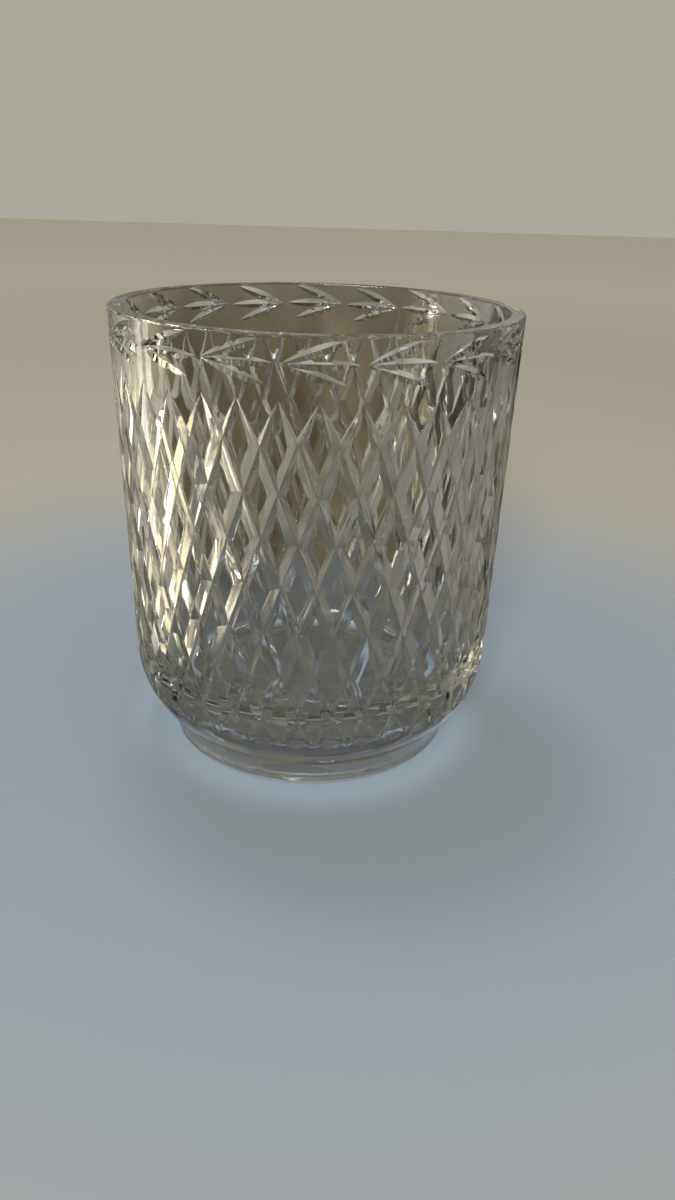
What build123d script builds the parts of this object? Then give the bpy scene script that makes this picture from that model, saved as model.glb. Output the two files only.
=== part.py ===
from build123d import *
import os
from math import atan2, cos, degrees, hypot, radians, sin, sqrt, tan

# Cut crystal vase. Millimetres, +Z up, origin at the centre of the resting ring.
# The bowl is one heavy blank with the cut patterns ground into its outside;
# the foot is a disc of glass cast on underneath. The front faces -Y.

# --- Driving dimensions ---------------------------------------------------------------
height = 250.0
mouth_diameter = 221.0
base_diameter = 208.0  # the straight wall, carried down to the table
shoulder_radius = 60.0
shoulder_height = 58.0  # height of the shoulder curve's centre
rim_wall = 8.0
rim_rounding = 1.2

cavity_low_radius = 95.0  # inside radius where the floor's curve starts
cavity_corner = 46.0
cavity_floor = 30.0

foot_height = 15.0
foot_top_radius = 86.0
foot_bottom_radius = 83.5
foot_edge_rounding = 1.0
rest_ring_width = 12.0
underside_recess = 2.5

# Lattice of mitre cuts: columns of flat diamonds between crossing V-grooves
columns = 36
crossing_rows = 7
first_crossing = 200.0
row_pitch = 24.5
top_points = 221.5  # where the grooves run out in points below the rim
bottom_points = 35.5  # and above the foot
point_to_notch = 4.0  # plain glass starts this far outside the end crossings
groove_depth = 3.0
groove_share = 0.48  # part of the column pitch that is groove, at a crossing
lattice_turn = 1.2  # degrees from the front
band_top = 223.5
band_bottom = 33.0
band_inset = 0.05  # the faceted band stays this far inside the turned surfaces
shoulder_rings = (57.0, 49.0, 42.0)  # the facets bend here to follow the shoulder

# Chain of leaves under the rim, three mitre cuts to a cluster
clusters = 18
cluster_height = 237.4
cluster_turn = 12.3
leaf_wheel_radius = 240.0
leaf_wheel_angle = 110.0  # included angle of the V on the wheel's edge
leaf_wheel_rim = 6.0
leaf_wheel_arc = 10.0  # only this much of the wheel is made, in degrees
# each leaf: degrees round the bowl from stem to tip, and rise of the tip
leaf_spans = ((15.6, 11.0), (18.2, 0.0), (15.6, -9.5))

# Row of small hollow arches above the foot
arch_height = 37.5
arch_depth = 0.8
arch_wheel_radius = 55.0
arch_wheel_edge = 12.0
arch_wheel_arc = 17.0

# --- Worked out from the driving dimensions -------------------------------------------
mouth_radius = mouth_diameter / 2
base_radius = base_diameter / 2
lean = (mouth_radius - base_radius) / height
slant = sqrt(1 + lean**2)
shoulder_x = base_radius + lean * shoulder_height - shoulder_radius * slant
shoulder_top = shoulder_height - shoulder_radius * lean / slant
column_pitch = 360 / columns
half_pitch = column_pitch / 2
groove_half = half_pitch * groove_share  # half a groove's width, in degrees
groove_reach = row_pitch * groove_share  # the same, measured up the wall
front = -90 + lattice_turn


def wall_radius(z):
    """Outside radius of the uncut bowl at a height."""
    if z >= shoulder_top:
        return base_radius + lean * z
    return shoulder_x + sqrt(shoulder_radius**2 - (shoulder_height - z) ** 2)


def wall_normal(z):
    """Outward normal of the uncut bowl at a height, as its radial and upward parts."""
    if z >= shoulder_top:
        return 1 / slant, -lean / slant
    return (wall_radius(z) - shoulder_x) / shoulder_radius, (z - shoulder_height) / shoulder_radius


def wall_point(angle, z, depth=0.0):
    """Point of the faceted band: an angle, a height and a depth into the glass."""
    outward, upward = wall_normal(z)
    if z in (band_bottom, band_top):
        upward = 0  # the edges of the band stay level
    sunk = depth + band_inset
    radius = wall_radius(z) - sunk * outward
    turn = radians(front + angle)
    return Vector(radius * cos(turn), radius * sin(turn), z - sunk * upward)


# --- Lattice facets -------------------------------------------------------------------
# A facet is a list of corners, each an angle, a height and a depth, turned anticlockwise
# as seen from outside.


def keep_side(corners, level, side):
    """The part of a facet above a level (side 1) or below it (side -1)."""
    kept = []
    for start, end in zip(corners, corners[1:] + corners[:1]):
        start_gap = side * (start[1] - level)
        end_gap = side * (end[1] - level)
        if start_gap >= 0:
            kept.append(start)
        if start_gap * end_gap < 0:
            share = start_gap / (start_gap - end_gap)
            kept.append(tuple(a + share * (b - a) for a, b in zip(start, end)))
    return kept


def facet_faces(corners):
    """Flat triangles for one facet, bent at each ring of the shoulder."""
    faces = []
    rest = corners
    pieces = []
    for level in shoulder_rings:
        upper = keep_side(rest, level, 1)
        if len(upper) > 2:
            pieces.append(upper)
        rest = keep_side(rest, level, -1)
    if len(rest) > 2:
        pieces.append(rest)
    for piece in pieces:
        points = [wall_point(*corner) for corner in piece]
        for second, third in zip(points[1:], points[2:]):
            if (second - points[0]).cross(third - points[0]).length > 1e-6:
                faces.append(Face(Wire.make_polygon([points[0], second, third])))
    return faces


def row_height(row):
    return first_crossing - row * row_pitch


def cell_facets(row, centre):
    """The diamond of one cell and the groove walls round it."""
    z = row_height(row)
    left = (centre - half_pitch, z, groove_depth)
    right = (centre + half_pitch, z, groove_depth)
    diamond_left = (centre - half_pitch + groove_half, z, 0)
    diamond_right = (centre + half_pitch - groove_half, z, 0)
    if row == 0:
        above = diamond_top = (centre, top_points, 0)
    else:
        above = (centre, row_height(row - 1), groove_depth)
        diamond_top = (centre, row_height(row - 1) - groove_reach, 0)
    if row == crossing_rows - 1:
        below = diamond_bottom = (centre, bottom_points, 0)
    else:
        below = (centre, row_height(row + 1), groove_depth)
        diamond_bottom = (centre, row_height(row + 1) + groove_reach, 0)
    facets = [
        [diamond_top, diamond_left, diamond_bottom],
        [diamond_top, diamond_bottom, diamond_right],
    ]
    walls = [
        [diamond_left, diamond_top, above, left],
        [diamond_right, right, above, diamond_top],
        [diamond_left, left, below, diamond_bottom],
        [diamond_right, diamond_bottom, below, right],
    ]
    for wall in walls:
        corners = [c for i, c in enumerate(wall) if c != wall[i - 1]]
        facets.append(corners)
    return facets


def border_facets(centre, row, points, edge):
    """Plain glass outside an end row: a notch between two groove points."""
    z = row_height(row)
    outward = 1 if edge > z else -1
    crossing = (centre, z, groove_depth)
    notch = (centre, z + outward * point_to_notch, 0)
    facets = []
    for side in (-1, 1):
        point = (centre + side * half_pitch, points, 0)
        edge_middle = (centre, edge, 0)
        edge_corner = (centre + side * half_pitch, edge, 0)
        facets.append([crossing, point, notch][:: side * outward])
        facets.append([notch, point, edge_corner, edge_middle][:: side * outward])
    return facets


def lattice_band():
    """Solid slice of the bowl with the whole lattice on its outside."""
    faces = []
    for column in range(columns):
        angle = column * column_pitch
        for row in range(crossing_rows):
            shift = half_pitch if row % 2 else 0
            for facet in cell_facets(row, angle + shift):
                faces += facet_faces(facet)
        for facet in border_facets(angle + half_pitch, 0, top_points, band_top):
            faces += facet_faces(facet)
        for facet in border_facets(angle + half_pitch, crossing_rows - 1, bottom_points, band_bottom):
            faces += facet_faces(facet)
    for edge in (band_top, band_bottom):
        ring = [wall_point(step * half_pitch, edge) for step in range(2 * columns)]
        faces.append(Face(Wire.make_polygon(ring)))
    return Solid(Shell(faces))


# --- Cutting wheels, for the leaves and the arches ------------------------------------
# Only the stretch of each wheel's rim that meets the glass is made, starting at -X.
leaf_flank = leaf_wheel_rim * tan(radians(leaf_wheel_angle / 2))
with BuildPart() as leaf_wheel:
    with BuildSketch(Plane.XZ):
        with BuildLine():
            Polyline(
                (-leaf_wheel_radius, 0),
                (leaf_wheel_rim - leaf_wheel_radius, leaf_flank),
                (leaf_wheel_rim - leaf_wheel_radius, -leaf_flank),
                close=True,
            )
        make_face()
    revolve(axis=Axis.Z, revolution_arc=leaf_wheel_arc)

with BuildPart() as arch_wheel:
    with BuildSketch(Plane.XZ):
        with Locations((arch_wheel_edge - arch_wheel_radius, 0)):
            Circle(arch_wheel_edge)
    revolve(axis=Axis.Z, revolution_arc=arch_wheel_arc)


# --- Band with the lattice, and the hollow arches under it ----------------------------
arch_outward, arch_upward = wall_normal(arch_height)
arch_reach = arch_wheel_radius - arch_depth
arch_centre_radius = wall_radius(arch_height) + arch_reach * arch_outward
arch_centre_height = arch_height + arch_reach * arch_upward
arch_tilt = degrees(atan2(-arch_upward, arch_outward))  # square to the shoulder
with BuildPart() as band:
    add(lattice_band())
    with PolarLocations(arch_centre_radius, columns, front + half_pitch):
        with Locations(Location((0, 0, arch_centre_height), (0, arch_tilt, -arch_wheel_arc / 2))):
            add(arch_wheel.part, mode=Mode.SUBTRACT)

# --- Bowl -----------------------------------------------------------------------------
with BuildPart() as bowl:
    # Turned rim, with its leaves, before the rest of the bowl is under it
    with BuildSketch(Plane.XZ):
        with BuildLine():
            Polyline(
                (0, band_top),
                (wall_radius(band_top), band_top),
                (mouth_radius, height),
                (0, height),
                close=True,
            )
        make_face()
    revolve(axis=Axis.Z)
    for turn, rise in leaf_spans:
        middle_height = cluster_height + rise / 2
        radius = wall_radius(middle_height)
        run = radians(turn) * radius
        tilt = atan2(rise, run)
        half_length = hypot(run, rise) / 2
        bend = 1 / leaf_wheel_radius + cos(tilt) ** 2 / radius
        depth = half_length**2 / 2 * bend
        start = -90 + cluster_turn + turn / 2
        with PolarLocations(radius - depth + leaf_wheel_radius, clusters, start):
            with Locations(Location((0, 0, middle_height), (degrees(tilt), 0, -leaf_wheel_arc / 2))):
                add(leaf_wheel.part, mode=Mode.SUBTRACT)

    # Thick base, from the joint with the foot up to the lattice
    with BuildSketch(Plane.XZ):
        with BuildLine():
            lower = (wall_radius(foot_height), foot_height)
            upper = (wall_radius(band_bottom), band_bottom)
            middle_z = (foot_height + band_bottom) / 2
            ThreePointArc(lower, (wall_radius(middle_z), middle_z), upper)
            Polyline(upper, (0, band_bottom), (0, foot_height), lower)
        make_face()
    revolve(axis=Axis.Z)

    add(band.part)

    # Inside, turned out in one pass and open at the mouth
    with BuildSketch(Plane.XZ):
        with BuildLine():
            mouth_inner = mouth_radius - rim_wall
            floor_edge = (cavity_low_radius - cavity_corner, cavity_floor)
            wall_foot = (cavity_low_radius, cavity_floor + cavity_corner)
            CenterArc((floor_edge[0], wall_foot[1]), cavity_corner, -90, 90)
            Polyline(
                wall_foot,
                (mouth_inner, height),
                (0, height),
                (0, cavity_floor),
                floor_edge,
            )
        make_face()
    revolve(axis=Axis.Z, mode=Mode.SUBTRACT)
    mouth_edges = bowl.edges().filter_by_position(Axis.Z, height - 0.01, height + 0.01)
    fillet(mouth_edges, rim_rounding)
bowl.part.label = "bowl"

# --- Foot -----------------------------------------------------------------------------
with BuildPart() as foot:
    with BuildSketch(Plane.XZ):
        with BuildLine():
            Polyline(
                (0, underside_recess),
                (foot_bottom_radius - rest_ring_width - underside_recess, underside_recess),
                (foot_bottom_radius - rest_ring_width, 0),
                (foot_bottom_radius, 0),
                (foot_top_radius, foot_height),
                (0, foot_height),
                close=True,
            )
        make_face()
    revolve(axis=Axis.Z)
    bottom_edges = foot.edges().filter_by(GeomType.CIRCLE).group_by(Axis.Z)[0]
    fillet(bottom_edges.sort_by(SortBy.RADIUS)[-1], foot_edge_rounding)
foot.part.label = "foot"

os.makedirs("parts", exist_ok=True)
for piece in (bowl, foot):
    export_step(piece.part, f"parts/{piece.part.label}.step")
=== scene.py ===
import math
import random
from collections import Counter

import bpy
import numpy as np
from mathutils import Matrix, Vector
from mathutils.geometry import delaunay_2d_cdt


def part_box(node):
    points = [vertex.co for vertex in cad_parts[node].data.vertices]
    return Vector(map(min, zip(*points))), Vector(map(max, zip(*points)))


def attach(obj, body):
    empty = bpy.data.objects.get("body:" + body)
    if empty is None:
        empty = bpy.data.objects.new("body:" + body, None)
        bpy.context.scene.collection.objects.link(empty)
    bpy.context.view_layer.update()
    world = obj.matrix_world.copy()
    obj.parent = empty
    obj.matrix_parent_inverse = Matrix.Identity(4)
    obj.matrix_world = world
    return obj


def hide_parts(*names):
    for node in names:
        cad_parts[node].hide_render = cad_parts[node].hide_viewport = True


# Cut crystal vase: one seamless body of glass with its cuts, drawn round the CAD frame.
# Metres, +Z up. Sizes along the glass are written in millimetres and scaled by MM.
MM = 0.001
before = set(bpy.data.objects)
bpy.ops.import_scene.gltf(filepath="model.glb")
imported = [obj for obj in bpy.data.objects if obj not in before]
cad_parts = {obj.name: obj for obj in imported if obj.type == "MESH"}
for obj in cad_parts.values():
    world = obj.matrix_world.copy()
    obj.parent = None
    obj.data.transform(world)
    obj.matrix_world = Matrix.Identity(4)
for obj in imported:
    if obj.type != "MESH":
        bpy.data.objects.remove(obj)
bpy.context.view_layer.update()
_, bowl_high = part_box("bowl")
_, foot_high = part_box("foot")

# --- The blank, from the frame and the same driving sizes as the CAD ------------------
HEIGHT = bowl_high.z / MM
FOOT_HEIGHT = foot_high.z / MM
FOOT_TOP_RADIUS = foot_high.x / MM
FOOT_TAPER = 2.5
FOOT_ROUNDING = 1.0
MOUTH_RADIUS = 110.5
BASE_RADIUS = 104.0
SHOULDER_RADIUS = 60.0
SHOULDER_HEIGHT = 58.0
RIM_WALL = 8.0
RIM_ROUNDING = 1.2
CAVITY_LOW_RADIUS = 95.0
CAVITY_CORNER = 46.0
CAVITY_FLOOR = 30.0
RESTING_RING = 12.0
RING_ROUNDING = 1.2
UNDERSIDE_RECESS = 2.5
UNDERSIDE_DOME = 0.4
LEAN = (MOUTH_RADIUS - BASE_RADIUS) / HEIGHT
SLANT = math.hypot(1, LEAN)
SHOULDER_X = BASE_RADIUS + LEAN * SHOULDER_HEIGHT - SHOULDER_RADIUS * SLANT
SHOULDER_TOP = SHOULDER_HEIGHT - SHOULDER_RADIUS * LEAN / SLANT

# --- The cuts -------------------------------------------------------------------------
COLUMNS = 36
CROSSING_ROWS = 7
FIRST_CROSSING = 200.0
ROW_PITCH = 24.5
TOP_POINTS = 221.5
BOTTOM_POINTS = 35.5
POINT_TO_NOTCH = 4.0
GROOVE_DEPTH = 3.0
GROOVE_SHARE = 0.48
LATTICE_TURN = 1.2
HALF_PITCH = 180 / COLUMNS
EDGE_SOFTENING = 0.055  # how far polishing has taken the edges down
SOFTENING_FADE = 6.0  # from nothing at the groove points to full, this far from them
FACET_ANGLE = 9.5  # a bend sharper than this, in degrees, is a ground edge
CLUSTERS = 18
CLUSTER_HEIGHT = 237.4
CLUSTER_TURN = 10.4  # from the lattice's own zero
# Each leaf: degrees round the bowl from stem to tip, and rise of the tip
LEAF_SPANS = ((15.8, 11.0), (18.7, 0.0), (16.0, -9.8))
LEAF_HALF_WIDTH = 2.6
LEAF_LEAN = 1.1  # above 1, the widest place is nearer the tip than the stem
LEAF_FULLNESS = 0.8  # below 1, the ends are blunter than a sine's
LEAF_STATIONS = 12
LEAF_WANDER = 0.08  # of a leaf's width
SPAN_WANDER = 0.02
RISE_WANDER = 0.05
STEM_TURN_WANDER = 0.15  # degrees
STEM_RISE_WANDER = 0.4
MITRE_SLOPE = math.tan(math.radians(55))  # half of the wheel's edge of 110 degrees
ARCH_HEIGHT = 36.6
ARCH_HALF_WIDTH = 6.2
ARCH_RISE = 4.4
ARCH_DROP = 2.4
ARCH_DEPTH = 0.8
ARCH_STATIONS = 32
UPPER_EDGE = HEIGHT - RIM_ROUNDING  # up to here the wall is cut or plain, above it turned
LOWER_EDGE = 29.0  # and below this it is turned too

# --- How dull the glass is: 0 clear, 1 ground by the wheel, 2 the matt underside ------
FULLY_GROUND = 0.25  # cuts deeper than this carry the wheel's full marks
LOW_SATIN = 0.3  # near the foot the cuts are small and polished clearer
LOW_SATIN_END = 55.0
FULL_SATIN_START = 95.0
UNDERSIDE_TOP = 3.0
UNDERSIDE_DULL = 2.0

hand = random.Random(7)  # every irregularity of the cutter's hand comes from here


def wall_radius(z):
    """Outside radius of the uncut bowl at a height."""
    if z >= SHOULDER_TOP:
        return BASE_RADIUS + LEAN * z
    return SHOULDER_X + math.sqrt(SHOULDER_RADIUS**2 - (SHOULDER_HEIGHT - z) ** 2)


def wall_normal(z):
    """Outward normal of the uncut bowl at a height, as its radial and upward parts."""
    if z >= SHOULDER_TOP:
        return 1 / SLANT, -LEAN / SLANT
    return (wall_radius(z) - SHOULDER_X) / SHOULDER_RADIUS, (z - SHOULDER_HEIGHT) / SHOULDER_RADIUS


def turned(angle, radius, z):
    """A point at an angle in degrees from the front of the lattice, in metres."""
    turn = math.radians(angle + LATTICE_TURN - 90)
    return Vector((radius * math.cos(turn), radius * math.sin(turn), z)) * MM


def wall_point(angle, z, depth):
    """A point this deep in the wall, straight in from its surface."""
    outward, upward = wall_normal(z)
    return turned(angle, wall_radius(z) - depth * outward, z - depth * upward)


def dullness(spot, depth):
    """How dull the glass is at a spot in metres that is cut this deep."""
    z = spot[2] / MM
    if z < UNDERSIDE_TOP:
        return UNDERSIDE_DULL
    share = (z - LOW_SATIN_END) / (FULL_SATIN_START - LOW_SATIN_END)
    satin = LOW_SATIN + (1 - LOW_SATIN) * min(1.0, max(0.0, share))
    return satin * min(1.0, max(0.0, depth / FULLY_GROUND))


SAME_SPOT = 1e-7  # metres; corners closer than this are one


class Skin:
    """A mesh that grows face by face and shares the corners that coincide."""

    def __init__(self):
        self.points = []
        self.ground = []
        self.index = {}
        self.faces = []
        self.sharp = set()

    def point(self, spot, depth=0.0):
        """Number of the corner at a spot, which is cut this deep into the glass."""
        key = tuple(round(c / SAME_SPOT) for c in spot)
        if key not in self.index:
            self.index[key] = len(self.points)
            self.points.append(tuple(spot))
            self.ground.append(dullness(spot, depth))
        return self.index[key]

    def face(self, corners):
        """A face, unless so many of its corners coincide that nothing is left of it."""
        corners = list(dict.fromkeys(corners))
        if len(corners) > 2:
            self.faces.append(corners)

    def grid(self, rows, flip=False):
        """Quads between rows of corners; flip runs them the other way round.

        An edge whose two faces run opposite ways is later marked as sharp.
        """
        for first, second in zip(rows, rows[1:]):
            for j in range(len(first) - 1):
                quad = [first[j], first[j + 1], second[j + 1], second[j]]
                self.face(quad[:1] + quad[:0:-1] if flip else quad)

    def sharpen(self, a, b):
        self.sharp.add((min(a, b), max(a, b)))

    def mesh(self, name):
        mesh = bpy.data.meshes.new(name)
        mesh.from_pydata(self.points, [], self.faces)
        mesh.update()
        mesh.validate()
        for edge in mesh.edges:
            if tuple(sorted(edge.vertices)) in self.sharp:
                edge.use_edge_sharp = True
        ground = mesh.attributes.new("ground", "FLOAT", "POINT")
        ground.data.foreach_set("value", self.ground)
        return mesh


skin = Skin()

# --- Lattice --------------------------------------------------------------------------
# s counts half pitches round the bowl, to the right, and t rows down it. On a groove
# that rises to the right s + t is constant, on one that falls s - t is, and both are odd.
# The hand that cut them wavered a little on every line.
LINE_WANDER = 0.045
WIDTH_WANDER = 0.10
FLANK_WEAR = 0.10  # millimetres that a flank bulges or sinks, where the wheel was worn
CORNER_WANDER = 0.02
POINT_WANDER = 0.7
# Stations along an edge and down a flank; those near the ends hold the soft edges
ALONG = (0, 0.02, 0.25, 0.5, 0.75, 0.98, 1)
DOWN = (0, 0.05, 0.28, 0.5, 0.72, 0.95, 1)
WORN = (0.28, 0.5, 0.72)  # the stations of a flank that its wear shifts


def wheel_pass():
    """One line of a family: how far it strays, how wide it is, and its flanks' wear."""
    stray = hand.gauss(0, LINE_WANDER)
    width = 1 + hand.uniform(-1, 1) * WIDTH_WANDER
    wear = [hand.uniform(-1, 1) * FLANK_WEAR if v in WORN else 0 for v in DOWN]
    return stray, width, wear


rising = [wheel_pass() for _ in range(COLUMNS)]
falling = [wheel_pass() for _ in range(COLUMNS)]


def flank_wear(family, line):
    return family[(line - 1) // 2 % COLUMNS][2]


def groove(family, line):
    """Centre and half width of a groove: line is its odd number along s + t or s - t."""
    stray, width, _ = family[(line - 1) // 2 % COLUMNS]
    return line + stray, GROOVE_SHARE * width


def place(along, across, depth):
    """Angle, height and depth where s + t and s - t have these values."""
    s = (along + across) / 2
    t = (along - across) / 2
    return s * HALF_PITCH, FIRST_CROSSING - t * ROW_PITCH, depth


def crossing(s, t):
    along, width_a = groove(rising, s + t)
    across, width_b = groove(falling, s - t)
    depth = GROOVE_DEPTH * (width_a + width_b) / 2 / GROOVE_SHARE
    return place(along, across, depth)


point_wander = {s: hand.uniform(-1, 1) * POINT_WANDER for s in range(0, 2 * COLUMNS, 2)}


def groove_point(s, top):
    """Where two grooves run out in a point, above or below the lattice."""
    angle, _, _ = crossing(s, -1 if top else CROSSING_ROWS)
    wander = point_wander[s % (2 * COLUMNS)]
    return angle, TOP_POINTS + wander if top else BOTTOM_POINTS + wander / 2, 0


def notch(s, top):
    """Where the plain glass comes down to, or up to, between two groove points."""
    angle, z, _ = crossing(s, 0 if top else CROSSING_ROWS - 1)
    return angle, z + (POINT_TO_NOTCH if top else -POINT_TO_NOTCH), 0


def softened(z):
    """How far the edges at a height have been polished down."""
    reach = min(TOP_POINTS - z, z - BOTTOM_POINTS) / SOFTENING_FADE
    return EDGE_SOFTENING * min(1, max(0, reach))


def blend(a, b, share):
    """The point this share of the way from a to b."""
    return tuple(x + share * (y - x) for x, y in zip(a, b))


def straight(start, end, steps):
    return [blend(start, end, k / steps) for k in range(steps + 1)]


def diamond(left, top, right, bottom):
    """The flat window of a cell, with its edges polished down."""
    rows = []
    for u in ALONG:
        row = []
        for v in ALONG:
            angle, z, depth = blend(blend(left, top, u), blend(bottom, right, u), v)
            if u in (0, 1) or v in (0, 1):
                depth += softened(z)
            row.append(skin.point(wall_point(angle, z, depth)))
        rows.append(row)
    skin.grid(rows)


def groove_wall(crest_start, crest_end, valley_end, valley_start, wear):
    """One flank of a groove, from the edge of the plain glass to the groove's bottom."""
    rows = []
    for v, worn in zip(DOWN, wear):
        row = []
        for u in ALONG:
            crest = blend(crest_start, crest_end, u)
            valley = blend(valley_start, valley_end, u)
            angle, z, depth = blend(crest, valley, v)
            if v == 0 or depth == 0:
                depth += softened(z)
            elif v == 1:
                depth -= min(2 * softened(z), depth / 2)
            elif u in (0, 1):
                depth += softened(z)
            else:
                depth += min(1, depth) * worn
            row.append(skin.point(wall_point(angle, z, depth), depth))
        rows.append(row)
    skin.grid(rows, flip=True)


def cell(s, row):
    """The window with its centre at s and t = row, and its four flanks."""
    corner_jitter = [hand.uniform(-1, 1) * CORNER_WANDER for _ in range(4)]
    low_a, width_low_a = groove(rising, s + row - 1)
    high_a, width_high_a = groove(rising, s + row + 1)
    low_b, width_low_b = groove(falling, s - row - 1)
    high_b, width_high_b = groove(falling, s - row + 1)
    edges = (
        low_a + width_low_a + corner_jitter[0],
        high_a - width_high_a + corner_jitter[1],
        low_b + width_low_b + corner_jitter[2],
        high_b - width_high_b + corner_jitter[3],
    )
    left = place(edges[0], edges[2], 0)
    right = place(edges[1], edges[3], 0)
    top = groove_point(s, True) if row == 0 else place(edges[0], edges[3], 0)
    bottom = groove_point(s, False) if row == CROSSING_ROWS - 1 else place(edges[1], edges[2], 0)
    node_left = crossing(s - 1, row)
    node_right = crossing(s + 1, row)
    node_top = top if row == 0 else crossing(s, row - 1)
    node_bottom = bottom if row == CROSSING_ROWS - 1 else crossing(s, row + 1)
    diamond(left, top, right, bottom)
    groove_wall(left, top, node_top, node_left, flank_wear(rising, s + row - 1))
    groove_wall(top, right, node_right, node_top, flank_wear(falling, s - row + 1))
    groove_wall(right, bottom, node_bottom, node_right, flank_wear(rising, s + row + 1))
    groove_wall(bottom, left, node_left, node_bottom, flank_wear(falling, s - row - 1))


def border(s, top):
    """The flanks on the plain side of an end crossing."""
    row = 0 if top else CROSSING_ROWS - 1
    node = crossing(s, row)
    valley = notch(s, top)
    before = groove_point(s - 1, top)
    after = groove_point(s + 1, top)
    wear_rising = flank_wear(rising, s + row)
    wear_falling = flank_wear(falling, s - row)
    if top:
        groove_wall(valley, before, before, node, wear_falling)
        groove_wall(after, valley, node, after, wear_rising)
    else:
        groove_wall(before, valley, node, before, wear_rising)
        groove_wall(valley, after, after, node, wear_falling)


for row in range(CROSSING_ROWS):
    for column in range(COLUMNS):
        cell(2 * column + row % 2, row)
for column in range(COLUMNS):
    border(2 * column + 1, True)
    border(2 * column + 1, False)


# --- Plain zones above and below the lattice, with the leaves and the arches ----------
ROUND_STEP = 1  # degrees
FILL_SPACING = 2.3  # between the loose points
FILL_CLEARANCE = 0.45  # of that spacing, to the nearest line
FILL_ROW = 0.9  # of that spacing, from row to row
LINE_SAMPLE = 0.5
RIM_LEVELS = 8
ARCH_LEVELS = 4


class Sheet:
    """A zone of the wall laid out flat, to be triangulated round its cuts.

    Corners are angle, height and depth; a cut line keeps a sharp edge on the glass.
    """

    def __init__(self, radius):
        self.scale = math.radians(radius)
        self.corners = []
        self.index = {}
        self.lines = []
        self.cuts = set()

    def corner(self, angle, z, depth=0.0):
        key = (round(angle, 6), round(z, 6))
        if key not in self.index:
            self.index[key] = len(self.corners)
            self.corners.append((angle, z, depth))
        return self.index[key]

    def line(self, path, cut=False):
        ids = [self.corner(*p) for p in path]
        for a, b in zip(ids, ids[1:]):
            if a != b:
                self.lines.append((a, b))
                if cut:
                    self.cuts.add((min(a, b), max(a, b)))
        return ids

    def flat(self, angle, z):
        return np.array((angle * self.scale, z))

    def fill(self, outline, depth_at=None):
        """Spread loose points over the zone, clear of every line."""
        crowded = []
        for a, b in self.lines:
            start = self.flat(*self.corners[a][:2])
            end = self.flat(*self.corners[b][:2])
            steps = max(1, int(np.linalg.norm(end - start) / LINE_SAMPLE))
            crowded += [start + (end - start) * k / steps for k in range(steps + 1)]
        crowded = np.array(crowded)
        ring = [self.flat(*self.corners[i][:2]) for i in outline]
        low, high = np.min(ring, 0), np.max(ring, 0)
        rows = int((high[1] - low[1]) / FILL_SPACING) + 1
        across = int((high[0] - low[0]) / FILL_SPACING) + 2
        for j in range(rows):
            for i in range(across):
                spot = low + FILL_SPACING * np.array((i + (j % 2) / 2, j * FILL_ROW + 0.5))
                if not inside(spot, ring):
                    continue
                if np.min(np.linalg.norm(crowded - spot, axis=1)) < FILL_CLEARANCE * FILL_SPACING:
                    continue
                angle, z = spot[0] / self.scale, spot[1]
                self.corner(angle, z, depth_at(angle, z) if depth_at else 0.0)

    def cover(self, outline):
        """Triangulate the zone within its outline and put it on the skin."""
        flat = [Vector(self.flat(a, z)) for a, z, _ in self.corners]
        done = delaunay_2d_cdt(flat, self.lines, [outline], 1, 1e-6, True)
        spots, _, triangles, sources = done[:4]
        ids = []
        for spot, origins in zip(spots, sources):
            if origins:
                angle, z, depth = self.corners[origins[0]]
            else:
                angle, z, depth = spot.x / self.scale, spot.y, 0.0
            ids.append(skin.point(wall_point(angle, z, depth), depth))
        order = {origin: new for new, origins in enumerate(sources) for origin in origins}
        ring = [order[i] for i in outline]
        for triangle in peeled(triangles, set(edges_of(ring))):
            skin.face([ids[i] for i in triangle])
        for a, b in self.cuts:
            skin.sharpen(ids[order[a]], ids[order[b]])


def edges_of(ring):
    return [(min(a, b), max(a, b)) for a, b in zip(ring, ring[1:] + ring[:1])]


def peeled(triangles, outline):
    """The triangles within an outline: the rest are taken off from outside, layer by layer."""
    while True:
        sides = Counter(edge for triangle in triangles for edge in edges_of(triangle))
        kept = [t for t in triangles if all(sides[e] > 1 or e in outline for e in edges_of(t))]
        if len(kept) == len(triangles):
            return kept
        triangles = kept


def inside(spot, ring):
    """Whether a ray from the spot crosses the ring an odd number of times."""
    odd = False
    for (x0, y0), (x1, y1) in zip(ring, ring[1:] + ring[:1]):
        if (y0 > spot[1]) != (y1 > spot[1]):
            if spot[0] < x0 + (spot[1] - y0) * (x1 - x0) / (y1 - y0):
                odd = not odd
    return odd


def zigzag(s_start, s_end, top):
    """The line of groove points and notches between two groove points."""
    path = []
    for s in range(s_start, s_end, 2):
        corners = (groove_point(s, top), notch(s + 1, top), groove_point(s + 2, top))
        for start, end in zip(corners, corners[1:]):
            for u in ALONG[1:] if path else ALONG:
                angle, z, _ = blend(start, end, u)
                path.append((angle, z, softened(z)))
    return path


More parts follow.
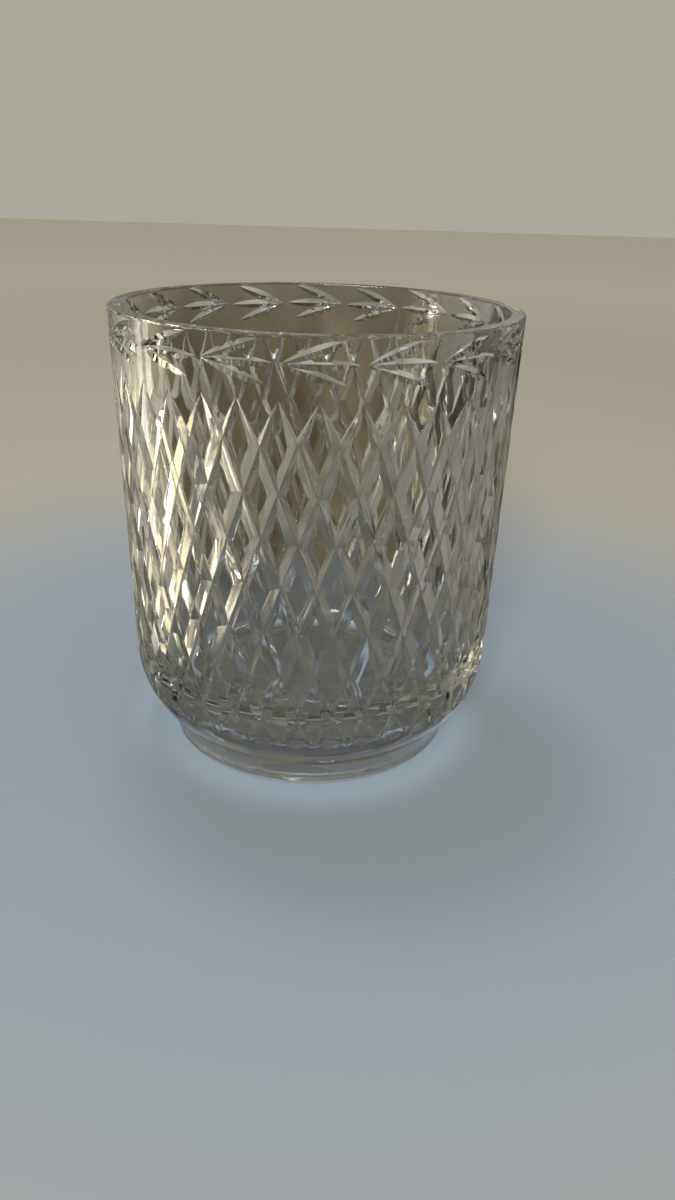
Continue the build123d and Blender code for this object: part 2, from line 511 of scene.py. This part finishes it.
def leaf(sheet, stem, tip):
    """A mitre cut with straight sides down to its middle line, pointed at both ends."""
    half = LEAF_HALF_WIDTH * (1 + hand.uniform(-1, 1) * LEAF_WANDER)
    run = sheet.flat(*tip) - sheet.flat(*stem)
    side = np.array((-run[1], run[0])) / np.linalg.norm(run)
    centre, upper, lower = [], [], []
    for k in range(LEAF_STATIONS + 1):
        share = k / LEAF_STATIONS
        width = 0
        if 0 < k < LEAF_STATIONS:
            width = half * math.sin(math.pi * share**LEAF_LEAN) ** LEAF_FULLNESS
        spot = sheet.flat(*stem) + run * share
        above = spot + side * width
        below = spot - side * width
        centre.append((spot[0] / sheet.scale, spot[1], width / MITRE_SLOPE))
        upper.append((above[0] / sheet.scale, above[1], 0.0))
        lower.append((below[0] / sheet.scale, below[1], 0.0))
    for path in (centre, upper, lower):
        sheet.line(path, cut=True)


def rim_zone(number):
    """The plain band over two columns of the lattice, with one cluster of leaves."""
    s_start = 2 + 4 * number
    start = s_start * HALF_PITCH
    end = start + 360 / CLUSTERS
    sheet = Sheet(wall_radius(CLUSTER_HEIGHT))
    base = zigzag(s_start, s_start + 4, True)
    crown_end = (end, UPPER_EDGE, 0.0)
    crown_start = (start, UPPER_EDGE, 0.0)
    outline = sheet.line(base, cut=True)
    outline += sheet.line(straight(base[-1], crown_end, RIM_LEVELS))[1:]
    outline += sheet.line(straight(crown_end, crown_start, int(end - start) // ROUND_STEP))[1:]
    outline += sheet.line(straight(crown_start, base[0], RIM_LEVELS))[1:-1]
    stem_angle = start + CLUSTER_TURN - 180 / CLUSTERS
    stem_angle += hand.uniform(-1, 1) * STEM_TURN_WANDER
    stem_height = CLUSTER_HEIGHT + hand.uniform(-1, 1) * STEM_RISE_WANDER
    for turn, rise in LEAF_SPANS:
        tip_angle = stem_angle + turn * (1 + hand.uniform(-1, 1) * SPAN_WANDER)
        tip_height = stem_height + rise * hand.uniform(1 - RISE_WANDER, 1)
        leaf(sheet, (stem_angle, stem_height), (tip_angle, tip_height))
    sheet.fill(outline)
    sheet.cover(outline)


def arch_depth(middle, angle, z, scale):
    """Depth of the hollow at a place, deepest at its centre and nothing at its edge."""
    across = (angle - middle) * scale / ARCH_HALF_WIDTH
    rise = z - ARCH_HEIGHT
    up = rise / (ARCH_RISE if rise > 0 else ARCH_DROP)
    return max(0.0, ARCH_DEPTH * (1 - across**2 - up**2))


def arch_zone(number):
    """The plain shoulder under one column of the lattice, with its hollow arch."""
    s_start = 2 * number
    start = s_start * HALF_PITCH
    end = start + 360 / COLUMNS
    sheet = Sheet(wall_radius(ARCH_HEIGHT))
    crown = zigzag(s_start, s_start + 2, False)
    base_start = (start, LOWER_EDGE, 0.0)
    base_end = (end, LOWER_EDGE, 0.0)
    outline = sheet.line(straight(base_start, base_end, int(end - start) // ROUND_STEP))
    outline += sheet.line(straight(base_end, crown[-1], ARCH_LEVELS))[1:]
    outline += sheet.line(crown[::-1], cut=True)[1:]
    outline += sheet.line(straight(crown[0], base_start, ARCH_LEVELS))[1:-1]
    middle = (start + end) / 2
    ring = []
    for k in range(ARCH_STATIONS):
        turn = 2 * math.pi * k / ARCH_STATIONS
        rise = ARCH_RISE if math.sin(turn) > 0 else ARCH_DROP
        x = math.cos(turn) * ARCH_HALF_WIDTH / sheet.scale
        ring.append((middle + x, ARCH_HEIGHT + math.sin(turn) * rise, 0.0))
    sheet.line(ring + ring[:1], cut=True)
    sheet.fill(outline, lambda angle, z: arch_depth(middle, angle, z, sheet.scale))
    sheet.cover(outline)


for number in range(CLUSTERS):
    rim_zone(number)
for number in range(COLUMNS):
    arch_zone(number)


# --- Turned surfaces: the mouth, the inside, the base and the foot --------------------
def arc(centre, radius, start, end, steps):
    """Points along an arc in the plane of the profile, angles in degrees."""
    path = []
    for k in range(steps + 1):
        turn = math.radians(start + (end - start) * k / steps)
        path.append((centre[0] + radius * math.cos(turn), centre[1] + radius * math.sin(turn)))
    return path


WAVE_HEIGHT = 0.03
WAVE_FADE_DOWN = 30  # no waves at the rim, full ones this far down
WAVE_FADE_OUT = 40  # nor at the middle of the floor, full ones this far out


def blown_wave(angle, z):
    """The slow waviness of the blown inside, of no period that shows."""
    turn = math.radians(angle)
    wave = math.sin(3 * turn + z / 31 + 0.4) + math.sin(7 * turn - z / 23 + 2.1) * 0.6
    wave += math.sin(13 * turn + z / 17 + 1.3) * 0.35 + math.sin(z / 13 + 2 * turn) * 0.4
    return WAVE_HEIGHT * wave


def turn_profile(profile, wave=None):
    """Turn a profile into rings of quads; a last point on the axis closes them."""
    rings = []
    for radius, z in profile:
        if radius < 1e-6:
            rings.append([skin.point(turned(0, 0, z))])
            continue
        ring = []
        for step in range(0, 360, ROUND_STEP):
            out = wave(step, z, radius) if wave else 0
            ring.append(skin.point(turned(step, radius + out, z)))
        rings.append(ring)
    count = 360 // ROUND_STEP
    for first, second in zip(rings, rings[1:]):
        for k in range(count):
            after = (k + 1) % count
            if len(second) == 1:
                skin.face([first[k], first[after], second[0]])
            else:
                skin.face([first[k], first[after], second[after], second[k]])


# Profiles run from the outside over the rim to the middle of the floor, and from the
# arches down over the foot to the middle of the underside.
mouth_inner = MOUTH_RADIUS - RIM_WALL
top_outer = wall_radius(UPPER_EDGE)
corner_x = CAVITY_LOW_RADIUS - CAVITY_CORNER
corner_z = CAVITY_FLOOR + CAVITY_CORNER
mouth = [(top_outer, UPPER_EDGE)]
mouth += arc((top_outer - RIM_ROUNDING, UPPER_EDGE), RIM_ROUNDING, 15, 90, 5)
mouth += straight((top_outer - RIM_ROUNDING, HEIGHT), (mouth_inner + RIM_ROUNDING, HEIGHT), 4)[1:]
mouth += arc((mouth_inner + RIM_ROUNDING, UPPER_EDGE), RIM_ROUNDING, 105, 180, 5)
inside_wall = straight((mouth_inner, UPPER_EDGE), (CAVITY_LOW_RADIUS, corner_z), 30)
inside_wall += arc((corner_x, corner_z), CAVITY_CORNER, 0, -90, 18)[1:]
inside_wall += straight((corner_x, CAVITY_FLOOR), (0, CAVITY_FLOOR), 9)[1:]


def inside_wave(angle, z, radius):
    fade = min(1, (UPPER_EDGE - z) / WAVE_FADE_DOWN) * min(1, radius / WAVE_FADE_OUT)
    return blown_wave(angle, z) * fade


turn_profile(mouth)
turn_profile(inside_wall, inside_wave)

lip = FOOT_TOP_RADIUS - 0.4
foot_low_radius = FOOT_TOP_RADIUS - FOOT_TAPER
ring_inner = foot_low_radius - RESTING_RING
recess_radius = ring_inner - UNDERSIDE_RECESS
base = [(wall_radius(z), z) for (z,) in straight((LOWER_EDGE,), (FOOT_HEIGHT + 0.6,), 8)]
# The crease where the foot was cast on, and the foot's upper edge
base += [(wall_radius(FOOT_HEIGHT) - 0.5, FOOT_HEIGHT + 0.1), (lip - 0.9, FOOT_HEIGHT - 0.1)]
base += arc((lip - 0.8, FOOT_HEIGHT - FOOT_ROUNDING), FOOT_ROUNDING, 80, 0, 5)
base += straight((lip + 0.1, FOOT_HEIGHT - 2), (foot_low_radius, FOOT_ROUNDING), 5)
base += arc((foot_low_radius - FOOT_ROUNDING, FOOT_ROUNDING), FOOT_ROUNDING, -10, -90, 5)
# The resting ring, its inner edge, and the slightly domed recess
base += straight((foot_low_radius - 1.4, 0), (ring_inner, 0), 3)
base += arc((ring_inner, RING_ROUNDING), RING_ROUNDING, -110, -150, 3)
base += [(recess_radius, UNDERSIDE_RECESS - 0.5)]
base += straight((recess_radius - 1, UNDERSIDE_RECESS), (0, UNDERSIDE_RECESS + UNDERSIDE_DOME), 6)
turn_profile(base)

vase_mesh = skin.mesh("vase_glass")


# --- Materials ------------------------------------------------------------------------
CRYSTAL_INDEX = 1.55
CLEAR_GLASS = (0.975, 0.976, 0.968)
GLASS_DEPTH = (0.80, 0.82, 0.80)  # the tint that thick glass takes on
GLASS_DEPTH_DENSITY = 6.0
WHEEL_SATIN = 0.16  # roughness that polishing leaves in the cuts, where it was light
WHEEL_GLOSS = 0.04  # and where it was thorough
SATIN_PATCHES = 22
HANDLING_MARKS = 160
MARKS_ROUGHNESS = 0.035
RIPPLE_SCALE = 50
RIPPLE_STRENGTH = 0.25
RIPPLE_HEIGHT = 0.0002
UNDERSIDE_GREY = (0.44, 0.45, 0.44)
UNDERSIDE_CLEAR = 0.25
PAINTED_FLOOR_LIGHT = (0.50, 0.61, 0.74)  # painted light that the vase throws down round its foot
FLOOR_NEAR = (0.37, 0.43, 0.50)
FLOOR_FAR = (0.56, 0.53, 0.455)
FLOOR_DISTANT = (0.80, 0.76, 0.65)
# Where one floor colour turns into the next, in metres from the vase's middle
GLOW_TO_NEAR = (0.080, 0.120)
NEAR_TO_FAR = (0.20, 0.62)
FAR_TO_DISTANT = (0.6, 3.0)


def new_material(name):
    material = bpy.data.materials.new(name)
    material.use_nodes = True
    nodes = material.node_tree.nodes
    return material, nodes, material.node_tree.links, nodes["Principled BSDF"]


def mixed(material, share, low, high):
    """Colour output of a mix, from low to high; each is a colour or another output."""
    mix = material.node_tree.nodes.new("ShaderNodeMix")
    mix.data_type = "RGBA"
    colours = [socket for socket in mix.inputs if socket.type == "RGBA"]
    for socket, value in zip(colours, (low, high)):
        if isinstance(value, tuple):
            socket.default_value = (*value, 1)
        else:
            material.node_tree.links.new(value, socket)
    material.node_tree.links.new(share, mix.inputs["Factor"])
    return next(socket for socket in mix.outputs if socket.type == "RGBA")


def eased(material, value, span, low=0.0, high=1.0, curve="SMOOTHSTEP"):
    """Output that turns from low to high as a value goes through a span."""
    share = material.node_tree.nodes.new("ShaderNodeMapRange")
    share.interpolation_type = curve
    share.inputs["From Min"].default_value = span[0]
    share.inputs["From Max"].default_value = span[1]
    share.inputs["To Min"].default_value = low
    share.inputs["To Max"].default_value = high
    material.node_tree.links.new(value, share.inputs["Value"])
    return share.outputs["Result"]


def calculated(material, operation, *values):
    result = material.node_tree.nodes.new("ShaderNodeMath")
    result.operation = operation
    for value, socket in zip(values, result.inputs):
        material.node_tree.links.new(value, socket)
    return result.outputs["Value"]


def distance(material, where):
    """Output of a vector's length."""
    reach = material.node_tree.nodes.new("ShaderNodeVectorMath")
    reach.operation = "LENGTH"
    material.node_tree.links.new(where, reach.inputs[0])
    return reach.outputs["Value"]


def noise(material, where, scale, detail=2.0):
    texture = material.node_tree.nodes.new("ShaderNodeTexNoise")
    texture.inputs["Scale"].default_value = scale
    texture.inputs["Detail"].default_value = detail
    material.node_tree.links.new(where, texture.inputs["Vector"])
    return texture.outputs["Fac"]


def crystal():
    """Lead crystal: clear and heavy, satin in the cuts, matt underneath."""
    material, nodes, links, shader = new_material("lead_crystal")
    shader.inputs["IOR"].default_value = CRYSTAL_INDEX
    where = nodes.new("ShaderNodeTexCoord").outputs["Object"]
    attribute = nodes.new("ShaderNodeAttribute")
    attribute.attribute_name = "ground"
    ground = attribute.outputs["Fac"]

    patches = noise(material, where, SATIN_PATCHES)
    polish = eased(material, patches, (0.38, 0.52), WHEEL_GLOSS, WHEEL_SATIN)
    marks = noise(material, where, HANDLING_MARKS, 3)
    marks = eased(material, marks, (0.35, 0.7), 0.0, MARKS_ROUGHNESS, "LINEAR")
    satin = calculated(material, "MULTIPLY_ADD", ground, polish, marks)
    links.new(satin, shader.inputs["Roughness"])

    underside = (1.0, UNDERSIDE_DULL)
    clear = eased(material, ground, underside, 1.0, UNDERSIDE_CLEAR)
    links.new(clear, shader.inputs["Transmission Weight"])
    matt = eased(material, ground, underside)
    links.new(mixed(material, matt, CLEAR_GLASS, UNDERSIDE_GREY), shader.inputs["Base Color"])

    bump = nodes.new("ShaderNodeBump")
    bump.inputs["Strength"].default_value = RIPPLE_STRENGTH
    bump.inputs["Distance"].default_value = RIPPLE_HEIGHT
    links.new(noise(material, where, RIPPLE_SCALE), bump.inputs["Height"])
    links.new(bump.outputs["Normal"], shader.inputs["Normal"])

    depth = nodes.new("ShaderNodeVolumeAbsorption")
    depth.inputs["Color"].default_value = (*GLASS_DEPTH, 1)
    depth.inputs["Density"].default_value = GLASS_DEPTH_DENSITY
    links.new(depth.outputs["Volume"], nodes["Material Output"].inputs["Volume"])
    return material


def floor_paint():
    """Matt paint: a painted glow of light round the vase's foot, then cool near the vase and warm
    further out.
    """
    material, nodes, links, shader = new_material("floor_paint")
    shader.inputs["Roughness"].default_value = 1.0
    shader.inputs["Specular IOR Level"].default_value = 0.0
    reach = distance(material, nodes.new("ShaderNodeTexCoord").outputs["Object"])
    near = mixed(material, eased(material, reach, GLOW_TO_NEAR), PAINTED_FLOOR_LIGHT, FLOOR_NEAR)
    far = mixed(material, eased(material, reach, NEAR_TO_FAR), near, FLOOR_FAR)
    distant = mixed(material, eased(material, reach, FAR_TO_DISTANT), far, FLOOR_DISTANT)
    links.new(distant, shader.inputs["Base Color"])
    return material


# --- Piece ----------------------------------------------------------------------------
vase = bpy.data.objects.new("vase_glass", vase_mesh)
bpy.context.scene.collection.objects.link(vase)
for polygon in vase_mesh.polygons:
    polygon.use_smooth = True
vase_mesh.set_sharp_from_angle(angle=math.radians(FACET_ANGLE))
vase_mesh.materials.append(crystal())
bpy.context.view_layer.objects.active = vase
vase.select_set(True)
bpy.ops.object.mode_set(mode="EDIT")
bpy.ops.mesh.select_all(action="SELECT")
bpy.ops.mesh.normals_make_consistent(inside=False)
bpy.ops.object.mode_set(mode="OBJECT")
# The large faces' normals win, so windows and flanks stay flat beside their soft edges
weighted = vase.modifiers.new("facet_normals", "WEIGHTED_NORMAL")
weighted.mode = "FACE_AREA"
weighted.weight = 50
weighted.keep_sharp = True
bpy.ops.object.modifier_apply(modifier=weighted.name)
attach(vase, "root")
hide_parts("bowl", "foot")


# --- Stage ----------------------------------------------------------------------------
FLOOR_SIZE = 12.0
JUST_UNDER = -0.0001  # the boards' table disc lies this far under the vase
HORIZON = (0.41, 0.39, 0.335)
ZENITH = (0.44, 0.425, 0.39)


def floor():
    half = FLOOR_SIZE / 2
    z = 2 * JUST_UNDER
    mesh = bpy.data.meshes.new("floor")
    corners = [(-half, -half, z), (half, -half, z), (half, half, z), (-half, half, z)]
    mesh.from_pydata(corners, [], [(0, 1, 2, 3)])
    mesh.materials.append(floor_paint())
    plane = bpy.data.objects.new("floor", mesh)
    bpy.context.scene.collection.objects.link(plane)


def studio_world():
    """An even, warm grey background that is a little lighter overhead."""
    world = bpy.data.worlds.new("studio")
    bpy.context.scene.world = world
    world.use_nodes = True
    nodes, links = world.node_tree.nodes, world.node_tree.links
    split = nodes.new("ShaderNodeSeparateXYZ")
    ramp = nodes.new("ShaderNodeValToRGB")
    links.new(nodes.new("ShaderNodeTexCoord").outputs["Generated"], split.inputs["Vector"])
    links.new(split.outputs["Z"], ramp.inputs["Fac"])
    links.new(ramp.outputs["Color"], nodes["Background"].inputs["Color"])
    ramp.color_ramp.elements[0].color = (*HORIZON, 1)
    ramp.color_ramp.elements[1].color = (*ZENITH, 1)


# Glowing boards round and under the vase, painted with the light and shade of a room, with the
# vase's own shadow and the light it throws round its foot painted on. Only the glass sees them.
# Azimuth 0 is straight behind the vase and 90 is to its right; each colour is the brightness
# there.
BOARD_RADIUS = 0.32
BOARD_HEIGHT = 0.62
BOARD_STEPS = 72
# Painted shadow: the olive shade is the vase's own shadow on the wall straight behind it.
OLIVE_SHADE = (0.070, 0.050, 0.016)
OLIVE_LIGHT = (0.125, 0.098, 0.045)
WALL_LEFT = (0.37, 0.345, 0.285)
WALL_RIGHT = (0.24, 0.225, 0.195)
ROOM_GREY = (0.21, 0.205, 0.19)
# The cream and the white bands are painted light, which the glass shows as bright streaks and
# glints; the black band is a strip of painted shade.
CREAM_LIGHT = (1.3, 1.14, 0.72)
GLINT_LIGHT = (5.0, 4.8, 4.2)
BLACK_SHADE = (0.004, 0.004, 0.004)
CEILING = (0.42, 0.40, 0.34)
# Painted shade: the foot shade lies under the foot, the table shade is the table lying in the
# vase's shadow.
FOOT_SHADE = (0.085, 0.075, 0.055)
TABLE_SHADE = (0.085, 0.092, 0.095)
TABLE_HALO = (0.36, 0.46, 0.60)  # painted light that falls through the vase, round its foot
# Where one turns into the next, in metres outwards and, for the ceiling, upwards
FOOT_TO_HALO = (0.082, 0.090)
HALO_TO_TABLE = (0.090, 0.112)
TABLE_TO_WALL = (0.13, BOARD_RADIUS)
WALL_TO_CEILING = (0.13, 0.42)
# Patches of brighter and darker painted light over the boards
LIGHT_PATCH_SCALE = 9
LIGHT_PATCH_CONTRAST = (0.7, 1.3)
BOARDS = (
    (-175, ROOM_GREY),
    (-110, ROOM_GREY),
    (-104, CREAM_LIGHT),
    (-90, CREAM_LIGHT),
    (-89, GLINT_LIGHT),
    (-86, GLINT_LIGHT),
    (-85, CREAM_LIGHT),
    (-76, CREAM_LIGHT),
    (-70, WALL_LEFT),
    (-44, WALL_LEFT),
    (-30, OLIVE_SHADE),
    (0, OLIVE_SHADE),
    (2, OLIVE_LIGHT),
    (20, OLIVE_LIGHT),
    (27, WALL_RIGHT),
    (31, WALL_RIGHT),
    (32, BLACK_SHADE),
    (48, BLACK_SHADE),
    (49, WALL_RIGHT),
    (175, ROOM_GREY),
)


def board_paint():
    """Light of its own: walls by azimuth, a table below and a ceiling above, with painted shadow
    and painted light round the vase.
    """
    material = bpy.data.materials.new("board_paint")
    material.use_nodes = True
    material.cycles.emission_sampling = "NONE"
    nodes, links = material.node_tree.nodes, material.node_tree.links
    nodes.clear()
    glow = nodes.new("ShaderNodeEmission")
    output = nodes.new("ShaderNodeOutputMaterial")
    links.new(glow.outputs["Emission"], output.inputs["Surface"])
    where = nodes.new("ShaderNodeTexCoord").outputs["Object"]
    sweep = nodes.new("ShaderNodeTexGradient")
    sweep.gradient_type = "RADIAL"
    links.new(where, sweep.inputs["Vector"])
    ramp = nodes.new("ShaderNodeValToRGB")
    links.new(sweep.outputs["Fac"], ramp.inputs["Fac"])
    # The sweep runs the other way round, from the left of the vase
    stops = sorted(((0.75 - azimuth / 360) % 1, colour) for azimuth, colour in BOARDS)
    elements = ramp.color_ramp.elements
    while len(elements) < len(stops):
        elements.new(0.5)
    for element, (position, _) in zip(elements, stops):
        element.position = position
    for element, (_, colour) in zip(elements, stops):
        element.color = (*colour, 1)

    apart = nodes.new("ShaderNodeSeparateXYZ")
    links.new(where, apart.inputs["Vector"])
    flat = nodes.new("ShaderNodeCombineXYZ")
    links.new(apart.outputs["X"], flat.inputs["X"])
    links.new(apart.outputs["Y"], flat.inputs["Y"])
    reach = distance(material, flat.outputs["Vector"])
    past_foot = eased(material, reach, FOOT_TO_HALO)
    within_halo = eased(material, reach, HALO_TO_TABLE, 1.0, 0.0)
    halo = calculated(material, "MULTIPLY", past_foot, within_halo)
    table = mixed(material, past_foot, FOOT_SHADE, TABLE_SHADE)
    low = mixed(material, eased(material, reach, TABLE_TO_WALL), table, ramp.outputs["Color"])
    low = mixed(material, halo, low, TABLE_HALO)
    upward = eased(material, apart.outputs["Z"], WALL_TO_CEILING)
    links.new(mixed(material, upward, low, CEILING), glow.inputs["Color"])
    # Patches of brighter and darker painted light
    light_patches = noise(material, where, LIGHT_PATCH_SCALE, 3)
    links.new(eased(material, light_patches, (0.35, 0.65), *LIGHT_PATCH_CONTRAST), glow.inputs["Strength"])
    return material


def boards():
    """A ring and the disc that closes it below."""
    mesh = bpy.data.meshes.new("boards")
    turns = [2 * math.pi * k / BOARD_STEPS for k in range(BOARD_STEPS)]
    points = [
        (BOARD_RADIUS * math.sin(turn), BOARD_RADIUS * math.cos(turn), z)
        for z in (JUST_UNDER, BOARD_HEIGHT)
        for turn in turns
    ]
    faces = [
        (k, (k + 1) % BOARD_STEPS, BOARD_STEPS + (k + 1) % BOARD_STEPS, BOARD_STEPS + k)
        for k in range(BOARD_STEPS)
    ]
    faces.append(tuple(range(BOARD_STEPS)))
    mesh.from_pydata(points, [], faces)
    mesh.materials.append(board_paint())
    ring = bpy.data.objects.new("boards", mesh)
    ring.visible_camera = False
    ring.visible_diffuse = False
    ring.visible_shadow = False
    bpy.context.scene.collection.objects.link(ring)


def area_light(name, spot, size, power, colour):
    """A square light that shines at the middle of the vase."""
    lamp = bpy.data.lights.new(name, "AREA")
    lamp.shape = "SQUARE"
    lamp.size = size
    lamp.energy = power
    lamp.color = colour
    holder = bpy.data.objects.new(name, lamp)
    holder.location = spot
    towards = Vector((0, 0, HEIGHT * MM / 2)) - Vector(spot)
    holder.rotation_euler = towards.to_track_quat("-Z", "Y").to_euler()
    bpy.context.scene.collection.objects.link(holder)


floor()
studio_world()
boards()
area_light("key_front", (-0.5, -2.6, 1.35), 0.7, 45, (1.0, 0.97, 0.92))
area_light("top_cool", (-0.2, 0.35, 1.6), 0.35, 5, (0.92, 0.96, 1.0))


# --- Camera ---------------------------------------------------------------------------
# Standing in front of the vase and looking down into it, held a little askew.
# Angles in radians.
CAMERA_DISTANCE = 0.5312
CAMERA_HEIGHT = 0.3138
CAMERA_YAW = 0.0293
CAMERA_PITCH = 0.4202
CAMERA_ROLL = 0.031
FOCAL_SHARE = 0.79375  # of the picture's height
SENSOR_HEIGHT = 36
forward = Vector((
    math.sin(CAMERA_YAW) * math.cos(CAMERA_PITCH),
    math.cos(CAMERA_YAW) * math.cos(CAMERA_PITCH),
    -math.sin(CAMERA_PITCH),
))
level = Vector((math.cos(CAMERA_YAW), -math.sin(CAMERA_YAW), 0))
upright = level.cross(forward)
right = level * math.cos(CAMERA_ROLL) + upright * math.sin(CAMERA_ROLL)
up = upright * math.cos(CAMERA_ROLL) - level * math.sin(CAMERA_ROLL)
view = bpy.data.cameras.new("camera")
view.sensor_fit = "VERTICAL"
view.sensor_height = SENSOR_HEIGHT
view.lens = SENSOR_HEIGHT * FOCAL_SHARE
view.clip_start = 0.01
camera = bpy.data.objects.new("camera", view)
turn = Matrix((right, up, -forward)).transposed().to_4x4()
camera.matrix_world = Matrix.Translation((0, -CAMERA_DISTANCE, CAMERA_HEIGHT)) @ turn
bpy.context.scene.collection.objects.link(camera)
bpy.context.scene.camera = camera

# Light passes many faces on its way through cut glass
cycles = bpy.context.scene.cycles
cycles.max_bounces = 32
cycles.transmission_bounces = 28
cycles.glossy_bounces = 8
bpy.context.scene.view_settings.view_transform = "Standard"
